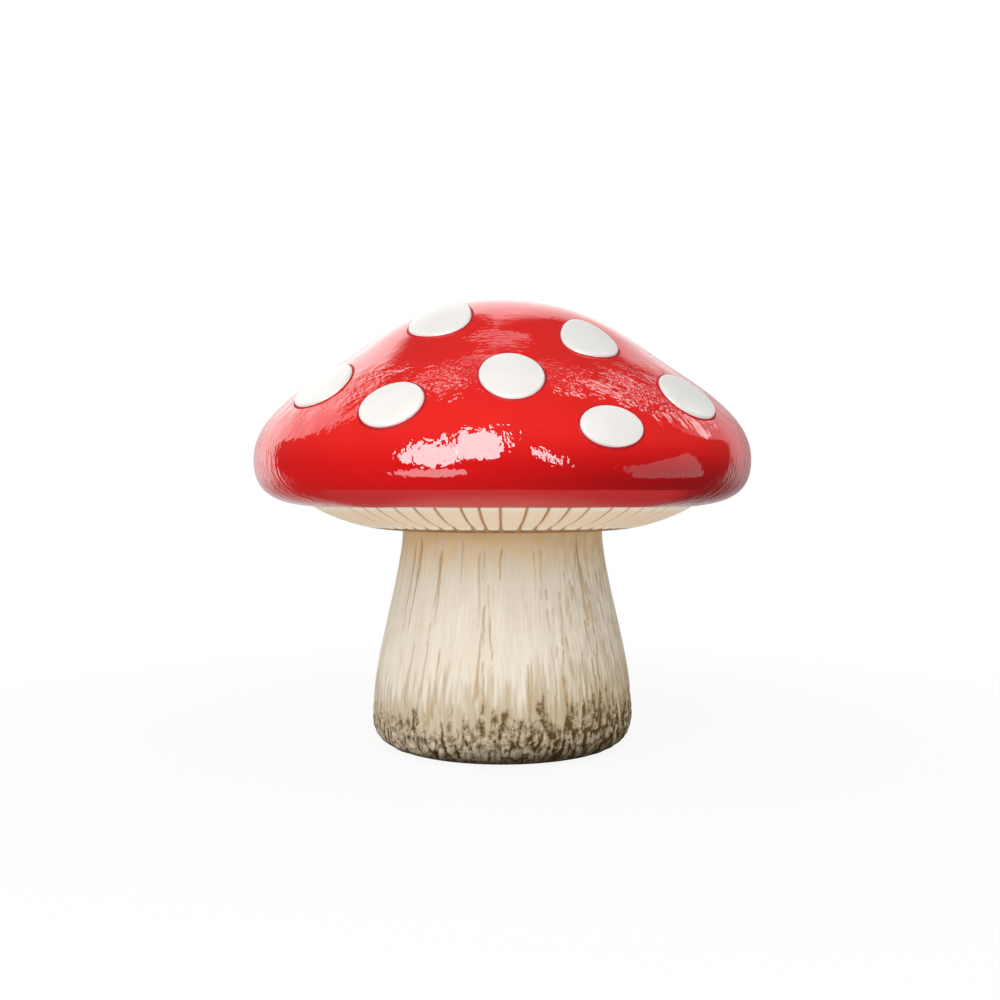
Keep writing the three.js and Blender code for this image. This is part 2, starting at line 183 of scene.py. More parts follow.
within, dim = 1.0, 1.0
for value, low, high in (
        (past_side, -EDGE_SOFTNESS, EDGE_SOFTNESS), (below_top, -TOP_SOFTNESS, TOP_SOFTNESS),
        (upward, *BACKDROP_FOOT)):
    limit = add_node(tree, "ShaderNodeMapRange", SMOOTH, (value, low, high)).outputs[0]
    within = add_node(tree, "ShaderNodeMath", MULTIPLY, (within, limit)).outputs[0]
for value, low, high in ((backward, *DIM_SIDES), (upward, *DIM_HEIGHT)):
    limit = add_node(tree, "ShaderNodeMapRange", SMOOTH, (value, low, high)).outputs[0]
    dim = add_node(tree, "ShaderNodeMath", MULTIPLY, (dim, limit)).outputs[0]
bright = add_node(tree, "ShaderNodeMapRange", None, (
    dim, 0.0, 1.0, BACKDROP, BACKDROP * (1 - DIM_BEHIND))).outputs[0]
to_right = add_node(tree, "ShaderNodeMapRange", SMOOTH, (
    sideways, *RIGHT_SPAN, 1.0, 1 - DIM_RIGHT)).outputs[0]
bright = add_node(tree, "ShaderNodeMath", MULTIPLY, (bright, to_right)).outputs[0]
reflected = add_node(tree, "ShaderNodeMix", None, {0: within, 2: ROOM, 3: bright}).outputs[0]
fill = add_node(tree, "ShaderNodeVectorMath", {"operation": "DOT_PRODUCT"}, (
    direction, (-FILL_FROM_LEFT, 0, FILL_FROM_ABOVE))).outputs["Value"]
fill = add_node(tree, "ShaderNodeMath", ADD, (fill, FILL)).outputs[0]
unseen = add_node(tree, "ShaderNodeMix", None, {
    0: rays["Is Glossy Ray"], 2: fill, 3: reflected}).outputs[0]
seen = add_node(tree, "ShaderNodeMath", {"operation": "MAXIMUM"}, (
    rays["Is Camera Ray"], rays["Is Transmission Ray"])).outputs[0]
strength = add_node(tree, "ShaderNodeMix", None, {0: seen, 2: unseen, 3: 1.0}).outputs[0]
light = add_node(tree, "ShaderNodeBackground", None, {"Color": (1, 1, 1, 1), "Strength": strength})
add_node(tree, "ShaderNodeOutputWorld", None, {"Surface": light.outputs[0]})
print("world:", len(tree.nodes), "nodes")

# %% [markdown]
# The table is matt white. Close to the figure it keeps part of the shadow, and further out it fades
# to plain white, so that it meets the background without a line. To matt surfaces it gives back less
# light than the camera sees, as a lit table does.

# %% Table
TABLE_HALF = 30.0
TABLE_GAP = 0.0002  # a hair under the foot, so that the two faces aren't in one plane
TABLE_GLOW = (0.9, 1.0)  # share of plain white, near the figure and far from it
GLOW_REACH = (0.2, 0.9)
TABLE_BOUNCE = 0.9

bpy.ops.object.select_all(action="DESELECT")
bpy.ops.mesh.primitive_plane_add(size=2 * TABLE_HALF, location=(0, 0, -TABLE_GAP))
table = bpy.context.object
table.name = "table"
table.visible_glossy = False
table_paint, tree, shader, place = new_material("matt white table")
tree.nodes.remove(shader)
rays = add_node(tree, "ShaderNodeLightPath").outputs
reach = add_node(tree, "ShaderNodeVectorMath", {"operation": "LENGTH"}, (place,)).outputs["Value"]
glow = add_node(tree, "ShaderNodeMapRange", SMOOTH, (
    reach, *GLOW_REACH, *TABLE_GLOW)).outputs["Result"]
given = add_node(tree, "ShaderNodeMix", None, {
    0: rays["Is Camera Ray"], 2: TABLE_BOUNCE, 3: 1.0}).outputs[0]
matt = add_node(tree, "ShaderNodeBsdfDiffuse", None, {"Color": linear("f7f7f6")})
white = add_node(tree, "ShaderNodeEmission", None, {"Color": (1, 1, 1, 1), "Strength": given})
mixed = add_node(tree, "ShaderNodeMixShader", None, {
    0: glow, 1: matt.outputs[0], 2: white.outputs[0]})
tree.links.new(mixed.outputs[0], tree.nodes["Material Output"].inputs["Surface"])
table.data.materials.append(table_paint)
print("table:", 2 * TABLE_HALF, "m square")

# %% [markdown]
# One lamp gives the form: a soft key in front, a little to the left and not much above the lens. The
# other lamps show only in reflections, and each is one pale shape on the gloss of the cap: the softbox
# in its two lobes and a thin edge, a patch of light on the table in front, a white card low down on
# the right and a narrow lamp above it, and three soft lamps under the ceiling, which the brush marks
# break into flecks.

# %% Lamps
CAP_MIDDLE = Vector((0, 0, 0.28))
COOL_WHITE = (0.82, 1.0, 1.04)


def lamp(name, place, size, brightness, aim=CAP_MIDDLE, glossy=True, shape="ELLIPSE", roll=0):
    """An area lamp in metres. A glossy one shows only in reflections, and any other only lights."""
    place, aim = Vector(place), Vector(aim)
    bpy.ops.object.light_add(type="AREA", location=place)
    light = bpy.context.object
    light.name = name
    aimed = (place - aim).to_track_quat("Z", "Y").to_matrix()
    light.rotation_euler = (aimed @ Matrix.Rotation(math.radians(roll), 3, "Z")).to_euler()
    light.data.shape = shape
    light.data.size, light.data.size_y = size
    area = size[0] * size[1] * (math.pi / 4 if shape == "ELLIPSE" else 1)
    light.data.energy = brightness * math.pi * area
    light.data.color = COOL_WHITE if glossy else (1, 1, 1)
    light.visible_camera = False
    light.visible_glossy = glossy
    light.visible_diffuse = not glossy
    print(name, "gives", round(light.data.energy, 2), "W")


def around(azimuth, elevation, distance=1.5):
    """A place seen from the cap, by its angle from the front to the right and its angle upwards."""
    turn, up = math.radians(azimuth), math.radians(elevation)
    away = Vector((math.sin(turn) * math.cos(up), -math.cos(turn) * math.cos(up), math.sin(up)))
    return CAP_MIDDLE + away * distance


lamp("key", around(-13, 28, 1.6), (1.0, 1.0), 4.1, glossy=False, shape="RECTANGLE")
lamp("softbox_left", around(-29, -1), (0.56, 0.92), 15.5)
lamp("softbox_right", around(-9.5, 14), (0.62, 1.25), 15.5)
lamp("softbox_edge", around(17, -3), (0.14, 0.75), 14, roll=28)
lamp("table_strip", (-0.29, -0.56, 0.02), (0.32, 0.28), 5.5, aim=(-0.29, -0.56, 1))
lamp("side_card", (0.46, -0.285, 0.135), (0.34, 0.21), 1.05, (0, -0.285, 0.135),
     shape="RECTANGLE", roll=34)
lamp("overhead", around(174, 72.4), (0.9, 0.1), 1.2)
lamp("ceiling_right", around(110, 60), (0.28, 0.66), 4.4)
lamp("ceiling_left", around(-116, 73), (0.24, 0.34), 3.4)
lamp("side_lamp", around(101, 31), (0.3, 0.7), 4)

# %% [markdown]
# ## Outlines
#
# All three mouldings are turned shapes, so each starts as half of its section. An outline could be
# traced by hand, but it would drift from the model. Here it is drawn from the same few points and
# angles as the solids: one vertex is extruded from point to point, and spin then turns it round the
# axis. The two ends of the turn are merged, and the normals are set once the shape is whole.

# %% Outline helpers
MERGE_DISTANCE = 0.02  # in millimetres, like every size that is multiplied by MM


def travel(degrees):
    """Direction in the plane of radius and height: 0 is outwards, 90 is down, 180 is to the axis."""
    angle = math.radians(degrees)
    return Vector((math.cos(angle), -math.sin(angle)))


def sweep(start, start_angle, end, end_angle, pulls, steps):
    start, end = Vector(start), Vector(end)
    chord = (end - start).length
    leave = start + travel(start_angle) * pulls[0] * chord
    arrive = end - travel(end_angle) * pulls[1] * chord
    knots = [point.to_3d() for point in (start, leave, arrive, end)]
    return [point.to_2d() for point in geometry.interpolate_bezier(*knots, steps + 1)]


def draw_outline(name, points):
    bpy.ops.object.select_all(action="DESELECT")
    bpy.ops.mesh.primitive_plane_add(size=MM)
    piece = bpy.context.object
    piece.name = name
    piece.data.name = name
    places = [Vector((point[0], 0, point[1])) * MM for point in points]
    bpy.ops.object.mode_set(mode="EDIT")
    bpy.ops.mesh.merge(type="CENTER")
    bpy.ops.transform.translate(value=places[0])
    for here, there in zip(places, places[1:]):
        bpy.ops.mesh.extrude_region_move(TRANSFORM_OT_translate={"value": there - here})
    bpy.ops.object.mode_set(mode="OBJECT")
    return piece


def spin_outline(piece, steps):
    bpy.ops.object.mode_set(mode="EDIT")
    bpy.ops.mesh.select_all(action="SELECT")
    bpy.ops.mesh.spin(steps=steps, angle=math.tau, center=(0, 0, 0), axis=(0, 0, 1))
    bpy.ops.mesh.select_all(action="SELECT")
    bpy.ops.mesh.remove_doubles(threshold=MERGE_DISTANCE * MM)
    bpy.ops.mesh.normals_make_consistent(inside=False)
    bpy.ops.object.mode_set(mode="OBJECT")
    bpy.ops.object.shade_smooth()


def apply_modifier(piece, kind, **settings):
    modifier = piece.modifiers.new(kind.lower(), kind)
    for name, value in settings.items():
        setattr(modifier, name, value)
    bpy.ops.object.modifier_apply(modifier=modifier.name)


def vertex_values(source, name, width):
    """Reads one value or vector per vertex from a mesh collection, as an array."""
    values = np.zeros(len(source) * width, np.float32)
    source.foreach_get(name, values)
    return values.reshape(-1, width)


def add_attribute(piece, name, values):
    values = np.asarray(values, np.float32)
    kind, field = ("FLOAT", "value") if values.ndim == 1 else ("FLOAT_VECTOR", "vector")
    attribute = piece.data.attributes.get(name) or piece.data.attributes.new(name, kind, "POINT")
    attribute.data.foreach_set(field, values.ravel())


def finish_piece(piece, material, slot, *nodes):
    piece.data.materials.clear()
    piece.data.materials.append(material)
    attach(piece, "root")
    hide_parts(*nodes)
    triangles = sum(len(face.vertices) - 2 for face in piece.data.polygons)
    print(piece.name, triangles, "triangles")


def smooth(low, high, value):
    share = min(max((value - low) / (high - low), 0), 1)
    return share * share * (3 - 2 * share)


# %% [markdown]
# ## Cap
#
# The cap is one glass-fibre moulding, about 4 mm thick, with its lip rolled under to the paint seam.
# A subdivided sphere would give a dome, but not this outline, with a hollow shoulder and a tight lip.
# Three curves give it: crown, flank and lip. After the turn, a slow unevenness of a few tenths of a
# millimetre is added, as in a hand-laid mould, and Solidify makes the wall.

# %% Cap outline
TOP_HEIGHT = cap_high.z
RIM_RADIUS = cap_high.x
SEAM_HEIGHT = cap_low.z
RIM_HEIGHT = 285.5
SHOULDER = (150, 394)
SEAM_RADIUS = 192
FLANK_ANGLE = 36.8
LIP_ANGLE = 5
CROWN_PULLS, FLANK_PULLS, LIP_PULLS = (0.45, 0.325), (0.38, 0.32), (0.43, 0.52)
CROWN_POINTS, FLANK_POINTS, LIP_POINTS = 24, 26, 20
CAP_WALL = 4

rim = (RIM_RADIUS, RIM_HEIGHT)
seam = (SEAM_RADIUS, SEAM_HEIGHT)
crown = sweep((0, TOP_HEIGHT), 0, SHOULDER, FLANK_ANGLE, CROWN_PULLS, CROWN_POINTS)
flank = sweep(SHOULDER, FLANK_ANGLE, rim, 90, FLANK_PULLS, FLANK_POINTS)
lip = sweep(rim, 90, seam, 180 - LIP_ANGLE, LIP_PULLS, LIP_POINTS)
dome = crown + flank[1:] + lip[1:]
dome_run = np.concatenate([[0], np.cumsum([(b - a).length for a, b in zip(dome, dome[1:])])])
rim_run = dome_run[len(crown) + len(flank) - 2]
print("cap outline:", len(dome), "points,", round(dome_run[-1]), "mm long")

# %% Cap moulding
CAP_STEPS = 224
UNEVEN_SIZE = 55
UNEVEN_HEIGHT = 0.45

cap = draw_outline("cap", dome)
add_attribute(cap, "run", dome_run)
spin_outline(cap, CAP_STEPS)
places = vertex_values(cap.data.vertices, "co", 3) / MM
normals = vertex_values(cap.data.vertex_normals, "vector", 3)
rises = np.array([noise.noise(Vector(place) / UNEVEN_SIZE) for place in places]) * UNEVEN_HEIGHT
cap.data.vertices.foreach_set("co", ((places + normals * rises[:, None]) * MM).ravel())
apply_modifier(cap, "SOLIDIFY", thickness=CAP_WALL * MM, offset=-1)

places = vertex_values(cap.data.vertices, "co", 3) / MM
run = vertex_values(cap.data.attributes["run"].data, "value", 1)[:, 0]
heading = np.arctan2(places[:, 0], -places[:, 1])
add_attribute(cap, "aside", np.abs(np.sin(heading)) * RIM_RADIUS * MM)
add_attribute(cap, "down", run / rim_run)
print("cap attribute run:", round(float(run.min()), 1), "to", round(float(run.max()), 1), "mm")

# %% [markdown]
# The finish is red polyester gelcoat, brushed on and left glossy. It reflects like a clear plastic
# with an IOR of about 1.5. The eye reads its unevenness only where a reflection ends: there it breaks
# the edge into patches and flecks. Five bumps do that: slow swells of the hand-laid dome, ripples of a
# centimetre, broad and fine brush strokes laid from side to side, and small flecks. The crown and the
# front of the rim came out smoother, and the left side has fewer strokes. A deeper red along the rim is
# painted shade, more of it on the right. At the front and the back the lip under it is painted paler as
# a painted reflection, and there it is also duller.

# %% Red gelcoat
# size and depth
SWELLS, RIPPLES, FLECKS = (26, 2.6), (9, 0.5), (4.4, 0.95)
BROAD_STROKES, FINE_STROKES = (5, 0.95), (2.4, 0.5)
STROKE_STRETCH = 7  # length of a stroke for its width
PATCH_SIZE = 34
LIP_REACH = (1.0, 1.1)  # down the section, with 1 at the widest ring
LIP_SPREAD = 0.045  # how much further round the rough sides reach on the lip, in metres
CALM_AMOUNT = 0.15  # what is left of the marks low down on the right
LIP_REFLECTION_MOST = 0.85
LIP_ROUGHNESS = (0.035, 0.45)  # on the rest of the cap, and on the lip band with its painted reflection
GELCOAT_IOR = 1.5

red_gelcoat, tree, shader, place = new_material("red polyester gelcoat")
down, aside = (add_node(tree, "ShaderNodeAttribute", {"attribute_name": name}).outputs["Fac"]
               for name in ("down", "aside"))
across = add_node(tree, "ShaderNodeSeparateXYZ", None, {"Vector": place}).outputs["X"]
along = add_node(tree, "ShaderNodeMapping", None, {
    "Vector": place, "Scale": (1 / STROKE_STRETCH, 1, 1 / STROKE_STRETCH)}).outputs[0]
patches = add_node(tree, "ShaderNodeTexNoise", None, {
    "Vector": place, "Scale": 1 / (PATCH_SIZE * MM), "Detail": 1.0}).outputs["Fac"]
wider = add_node(tree, "ShaderNodeMapRange", None, (down, *LIP_REACH, 0.0, LIP_SPREAD)).outputs[0]
spread = add_node(tree, "ShaderNodeMath", ADD, (aside, wider)).outputs[0]
band = {
    # what is measured, where the change starts and ends, and the amount before and after it
    "rough_patch": (patches, 0.42, 0.6, 0.45, 1.0),
    "off_crown": (down, 0.61, 0.77, 0.1, 1.0),
    "off_front": (down, 0.82, 0.92, 1.0, 0.4),
    "off_rim": (down, 0.87, 0.99, 1.0, 0.15),
    "off_lip": (down, 1.065, 1.1, 1.0, 0.08),
    "low_down": (down, 0.88, 0.95, 0.0, 1.0),
    "low_red": (down, 0.93, 1.04, 0.0, 0.65),
    "at_rim": (down, 0.96, 1.09, 0.0, 1.0),
    "on_lip": (down, 1.102, 1.109, 0.0, 1.0),
    "front_or_back": (aside, 0.19, 0.15, 0.0, 1.0),
    "at_sides": (spread, 0.2, 0.24, 0.0, 1.0),
    "on_right": (across, 0.08, 0.12, 0.0, 1.0),
    "more_right": (across, -0.08, 0.2, 0.05, 0.8),
    "stroke_side": (across, -0.06, 0.02, 0.4, 1.0),
}
for name, measures in band.items():
    band[name] = add_node(tree, "ShaderNodeMapRange", SMOOTH, measures).outputs[0]
calmed, right_rim_painted_shade, lip_reflection_band, swollen = (
    add_node(tree, "ShaderNodeMath", MULTIPLY, (band[one], band[other])).outputs[0]
    for one, other in (("on_right", "low_down"), ("at_rim", "more_right"), ("on_lip", "front_or_back"),
                       ("off_rim", "off_crown")))

calm = add_node(tree, "ShaderNodeMapRange", None, (calmed, 0.0, 1.0, 1.0, CALM_AMOUNT)).outputs[0]
flecked = band["rough_patch"]
for share in (band["off_lip"], calm, band["off_crown"]):
    flecked = add_node(tree, "ShaderNodeMath", MULTIPLY, (flecked, share)).outputs[0]
stroked = add_node(tree, "ShaderNodeMath", MULTIPLY, (flecked, band["stroke_side"])).outputs[0]
flecked, stroked = (add_node(tree, "ShaderNodeMath", {"operation": "MAXIMUM"}, (
    amount, band["at_sides"])).outputs[0] for amount in (flecked, stroked))
specked = add_node(tree, "ShaderNodeMath", MULTIPLY, (flecked, band["off_front"])).outputs[0]
relief = None
for where, (size, depth), amount in (
        (place, SWELLS, swollen), (place, RIPPLES, flecked), (along, BROAD_STROKES, stroked),
        (along, FINE_STROKES, stroked), (place, FLECKS, specked)):
    marks = add_node(tree, "ShaderNodeTexNoise", None, {
        "Vector": where, "Scale": 1 / (size * MM), "Detail": 1.0}).outputs["Fac"]
    bump = add_node(tree, "ShaderNodeBump", None, {
        "Height": marks, "Strength": amount, "Distance": depth * MM})
    if relief:
        tree.links.new(relief, bump.inputs["Normal"])
    relief = bump.outputs[0]

# The paler red of the lip band is a painted reflection, and the deeper reds along the rim are painted
# shade, deepest on the right.
rubbed = add_node(tree, "ShaderNodeMath", MULTIPLY, (lip_reflection_band, LIP_REFLECTION_MOST)).outputs[0]
colour = linear("da2320")
for covered, paint in (
        (patches, "e42823"), (band["low_red"], "cc040b"), (right_rim_painted_shade, "7a0209"), (rubbed, "d40e12")):
    colour = add_node(tree, "ShaderNodeMix", COLOURS, {
        FACTOR: covered, FIRST: colour, SECOND: linear(paint)}).outputs[MIXED]
dullness = add_node(tree, "ShaderNodeMapRange", None, (
    lip_reflection_band, 0.0, 1.0, *LIP_ROUGHNESS)).outputs[0]
set_inputs(tree, shader, {
    "Base Color": colour, "Normal": relief, "Roughness": dullness, "IOR": GELCOAT_IOR})
finish_piece(cap, red_gelcoat, "red_gelcoat", "cap_shell")

# %% [markdown]
# ## Spots
#
# Each spot is a thin casting with a rounded edge, bonded to the dome with a bead of dark red paint
# round it. All are the same form, so one is modelled flat: a disc that grows inwards and upwards by
# insets, first the bead, then a quarter round, then the slightly raised middle. Each copy is stretched
# to its own length and width and then laid on the dome, where every point keeps its height above the
# surface.

# %% Flat spot
SPOT_SIZE = 60
SPOT_SIDES = 64
BEAD_WIDTH = 2.5
BEAD_RISE = 0.35
SINK = 0.5
EDGE_ROUND = 2.4
EDGE_STEPS = 5
MIDDLE_RISE = 1.0
MIDDLE_STEPS = 5
LINE_HEIGHT = 0.9  # up to this height the edge carries the paint line
FOOT_INSET = 0.05  # of the bead's upright foot
MIDDLE_SPAN = 0.94  # share of the flat top that its steps cover


def flat_spot():
    radius = SPOT_SIZE / 2 + BEAD_WIDTH
    bpy.ops.object.select_all(action="DESELECT")
    bpy.ops.mesh.primitive_circle_add(
        vertices=SPOT_SIDES, radius=radius * MM, fill_type="NGON", location=(0, 0, -SINK * MM))
    spot = bpy.context.object
    bpy.ops.object.transform_apply(location=True, rotation=True, scale=True)
    rows = [(FOOT_INSET, SINK), (BEAD_WIDTH - FOOT_INSET, BEAD_RISE)]
    turn = [math.pi / 2 * k / EDGE_STEPS for k in range(EDGE_STEPS + 1)]
    for a, b in zip(turn, turn[1:]):
        rows.append((EDGE_ROUND * (math.cos(a) - math.cos(b)), EDGE_ROUND * (math.sin(b) - math.sin(a))))
    flat = SPOT_SIZE / 2 - EDGE_ROUND
    for k in range(MIDDLE_STEPS):
        outer, inner = 1 - k / MIDDLE_STEPS, 1 - (k + 1) / MIDDLE_STEPS
        rows.append((flat * (outer - inner) * MIDDLE_SPAN, MIDDLE_RISE * (outer ** 2 - inner ** 2)))
    bpy.ops.object.mode_set(mode="EDIT")
    bpy.ops.mesh.select_all(action="SELECT")
    for step_in, step_up in rows:
        bpy.ops.mesh.inset(thickness=step_in * MM, depth=step_up * MM)
    bpy.ops.mesh.poke()
    bpy.ops.object.mode_set(mode="OBJECT")
    bpy.ops.object.shade_smooth()
    return spot


pattern = flat_spot()
print("flat spot:", [round(v / MM, 2) for v in pattern.dimensions], "mm")

# %% [markdown]
# The castings are white polyester gelcoat, rubbed down after the mould and so duller than the cap. The
# eye sees wide soft highlights, faint clouds and a fine grain. The bead round them is matt brush paint.

# %% White gelcoat and the paint line
WHITE_CLOUD, WHITE_GRAIN = 26, 3
LINE_CLOUD = 9

white_gelcoat, tree, shader, place = new_material("white polyester gelcoat")
cloud, grain = (add_node(tree, "ShaderNodeTexNoise", None, {
    "Vector": place, "Scale": 1 / (size * MM), "Detail": detail}).outputs["Fac"]
    for size, detail in ((WHITE_CLOUD, 3.0), (WHITE_GRAIN, 2.0)))
colour = add_node(tree, "ShaderNodeMix", COLOURS, {
    FACTOR: cloud, FIRST: linear("e4e1db"), SECOND: linear("eeebe6")}).outputs[MIXED]
relief = add_node(tree, "ShaderNodeBump", None, {
    "Height": grain, "Strength": 0.35, "Distance": 0.2 * MM}).outputs[0]
set_inputs(tree, shader, {"Base Color": colour, "Normal": relief, "Roughness": 0.38})

paint_line, tree, shader, place = new_material("dark red paint line")
cloud = add_node(tree, "ShaderNodeTexNoise", None, {
    "Vector": place, "Scale": 1 / (LINE_CLOUD * MM), "Detail": 2.0}).outputs["Fac"]
colour = add_node(tree, "ShaderNodeMix", COLOURS, {
    FACTOR: cloud, FIRST: linear("b80d18"), SECOND: linear("d2161f")}).outputs[MIXED]
set_inputs(tree, shader, {"Base Color": colour, "Roughness": 0.6, "Specular IOR Level": 0.15})
print("spot materials:", white_gelcoat.name, "and", paint_line.name)

# %% Spots on the dome
SPOTS = {
    # heading, share of the way from top to rim, length and width in spot sizes, slant
    "front_high_left": (-30, 0.385, 1.37, 1.03, -63),
    "front_high_right": (31.5, 0.518, 1.3, 0.9, 62),
    "front_middle": (2, 0.74, 1.13, 0.92, -80),
    "front_low_left": (-23.5, 0.855, 0.97, 0.83, 6),
    "front_low_right": (21.5, 0.928, 0.95, 0.63, -4),
    "left": (-52, 0.742, 1.4, 1.03, -30),
    "right": (48.5, 0.798, 1.22, 0.98, 20),
    "right_high": (103, 0.56, 1.2, 0.97, 35),
    "right_low": (114, 0.865, 1.03, 0.83, -8),
    "back_right": (139, 0.67, 1.17, 0.93, 70),
    "back_right_low": (152, 0.91, 1.0, 0.7, 5),
    "back_right_high": (158, 0.395, 1.23, 1.0, -40),
    "back": (181, 0.77, 1.13, 0.97, -75),
    "back_left_high": (205, 0.545, 1.27, 0.93, 50),
    "back_left_low": (213, 0.9, 0.97, 0.73, -6),
    "back_left": (236, 0.72, 1.17, 1.0, -25),
    "left_high": (254, 0.475, 1.2, 0.9, 60),
    "left_low": (261, 0.885, 1.03, 0.8, 8),
    "crown": (190, 0.16, 1.1, 0.93, 20),
}
WOBBLES = ((2, 0.018), (3, 0.0126))  # waves round an outline, and how far they stray from an ellipse
NEAR_TOP = 0.3  # share within which a spot is laid as on a flat disc, because rings there are tight
chance = random.Random(7)
dome_points = np.array([tuple(point) for point in dome])


def on_dome(heading, distance, lift):
    """A point of the dome at a heading and a distance from the top, lifted off the surface."""
    radius, height = (np.interp(distance, dome_run, dome_points[:, axis]) for axis in (0, 1))
    ahead, behind = distance + 1, distance - 1
    out, rise = (np.interp(ahead, dome_run, dome_points[:, axis])
                 - np.interp(behind, dome_run, dome_points[:, axis]) for axis in (0, 1))
    length = np.hypot(out, rise)
    radius, height = radius - rise / length * lift, height + out / length * lift
    return np.column_stack([radius * np.sin(heading), -radius * np.cos(heading), height])


def lay_spot(name, degrees, share, long, wide, slant):
    bpy.ops.object.select_all(action="DESELECT")
    pattern.select_set(True)
    bpy.context.view_layer.objects.active = pattern
    bpy.ops.object.duplicate()
    spot = bpy.context.object
    spot.name = "spot_" + name + "_casting"
    spot.data.name = spot.name
    flat = vertex_values(spot.data.vertices, "co", 3) / MM
    angle = np.arctan2(flat[:, 1], flat[:, 0])
    shifts = [chance.uniform(0, math.tau) for _ in WOBBLES]
    stray = 1 + sum(far * np.sin(waves * angle + shift) for (waves, far), shift in zip(WOBBLES, shifts))
    bead = np.maximum(np.hypot(flat[:, 0], flat[:, 1]) - SPOT_SIZE / 2, 0)
    body = (np.hypot(flat[:, 0], flat[:, 1]) - bead) * stray
    across = (body * long + bead) * np.cos(angle)
    up = (body * wide + bead) * np.sin(angle)
    turn = math.radians(slant)
    across, up = (across * math.cos(turn) - up * math.sin(turn),
                  across * math.sin(turn) + up * math.cos(turn))
    distance = share * rim_run
    ring_radius = np.interp(distance, dome_run, dome_points[:, 0])
    turned, away = across / ring_radius, distance - up
    if share < NEAR_TOP:
        turned, away = np.arctan2(across, distance - up), np.hypot(across, distance - up)
    laid = on_dome(math.radians(degrees) + turned, away, flat[:, 2])
    spot.data.vertices.foreach_set("co", (laid * MM).ravel())
    finish_piece(spot, white_gelcoat, "white_gelcoat", "spot_" + name)
    spot.data.materials.append(paint_line)
    for face in spot.data.polygons:
        heights = [flat[i, 2] for i in face.vertices]
        face.material_index = int(max(heights) < LINE_HEIGHT)
    spot.data.update()


for name, measures in SPOTS.items():
    lay_spot(name, *measures)
bpy.data.objects.remove(pattern)

# %% [markdown]
# ## Gill pan
#
# The gill pan closes the cap from below. Its ribs are broad and flat with narrow grooves between
# them, and they end in a blunt nose a little outside the stem. Sixty separate ribs could be modelled
# and joined, but the real pan is one skin. So its section is turned in many narrow steps, and each
# vertex is then pressed up by a formula of its angle: little on a rib, and deep in a groove.

# %% Gill pan outline
PAN_EDGE = (191.4, 239.6)
NOSE = (140, 219.8)  # where the ribs end
PAN_ROOT = (102.7, 215.6)
EDGE_ANGLE, NOSE_ANGLE, ROOT_ANGLE = 148, 167, 177
PAN_PULLS = (0.3, 0.3)
GILL_POINTS, ROOT_POINTS = 22, 10
SEAT_GAP, LAP_GAP = 0.2, 0.6
SEAT_HEIGHT = stem_high.z + SEAT_GAP
PAN_PLATE = 66
PAN_WALL = 3
PAN_BACK = (152, 232)
LAP_WIDTH = 14  # how far the flange runs up inside the lip
LAP_INSET = CAP_WALL + LAP_GAP

lap_end = lip[-1] - travel(180 - LIP_ANGLE) * LAP_WIDTH
inward = travel(270 - LIP_ANGLE)
face_of_gills = sweep(PAN_EDGE, EDGE_ANGLE, NOSE, NOSE_ANGLE, PAN_PULLS, GILL_POINTS)
root_of_gills = sweep(NOSE, NOSE_ANGLE, PAN_ROOT, ROOT_ANGLE, PAN_PULLS, ROOT_POINTS)[1:]
pan_back = [Vector(point) for point in (
    (PAN_ROOT[0], SEAT_HEIGHT), (PAN_PLATE, SEAT_HEIGHT), (PAN_PLATE, SEAT_HEIGHT + PAN_WALL),
    (PAN_ROOT[0], SEAT_HEIGHT + PAN_WALL), PAN_BACK)]
for corner, depth in ((lip[-1], PAN_WALL), (lap_end, PAN_WALL), (lap_end, 0), (lip[-1], 0)):
    pan_back.append(corner + inward * (LAP_INSET + depth))
pan_outline = face_of_gills + root_of_gills + pan_back + face_of_gills[:1]
print("gill pan outline:", len(pan_outline), "points")

# %% Gill pan moulding
GILL_COUNT = 60
COLUMNS_PER_GILL = 18
GROOVE_DEPTH = 2.3
DEPTH_SPREAD = (0.8, 1.15)
GROOVE_SHARE = 0.16  # of the pitch
SWAY = 0.16  # how far a groove strays from its even place, in pitches
CROWN_OF_RIB = (2.6, 0.5)  # how far a rib is rounded towards its grooves, at its nose and further out
CROWN_REACH = (NOSE[0] + 4, NOSE[0] + 22)
CROWN_POWER = 3  # a higher one keeps the rounding closer to the grooves
FADE_START, FADE_LENGTH = NOSE[0] + 6, 14  # where a groove runs out towards the stem
FADE_WIDENS = 1.6
WASH_REACH = 1.3  # how far the brown wash covers a groove and its edges, in half widths

chance = random.Random(21)
gill_sway = np.array([chance.uniform(-SWAY, SWAY) for _ in range(GILL_COUNT)])
gill_depth = np.array([chance.uniform(*DEPTH_SPREAD) for _ in range(GILL_COUNT)])

pan = draw_outline("gill_pan_moulding", pan_outline)
gill_rows = len(face_of_gills) + len(root_of_gills)
add_attribute(pan, "on_gills", [1.0] * gill_rows + [0.0] * len(pan_back) + [1.0])
spin_outline(pan, GILL_COUNT * COLUMNS_PER_GILL)
places = vertex_values(pan.data.vertices, "co", 3) / MM
on_gills = vertex_values(pan.data.attributes["on_gills"].data, "value", 1)[:, 0]
radius = np.hypot(places[:, 0], places[:, 1])
turn = np.arctan2(places[:, 0], -places[:, 1]) / math.tau * GILL_COUNT
nearest = np.round(turn).astype(int) % GILL_COUNT
offset = np.abs(turn - np.round(turn) - gill_sway[nearest])
past_nose = np.clip((FADE_START - radius) / FADE_LENGTH, 0, 1)
groove_reach = offset / (GROOVE_SHARE / 2 * (1 + FADE_WIDENS * past_nose))
groove = np.clip(1 - groove_reach ** 2, 0, 1) * gill_depth[nearest] * (1 - past_nose)
crown_here = np.interp(radius, CROWN_REACH, CROWN_OF_RIB)
rounded = crown_here * np.clip(1 - 2 * offset, 0, 1) ** CROWN_POWER * (1 - past_nose)
press = (groove * GROOVE_DEPTH + rounded) * on_gills
places[:, 2] += press
pan.data.vertices.foreach_set("co", (places * MM).ravel())
pan.data.update()
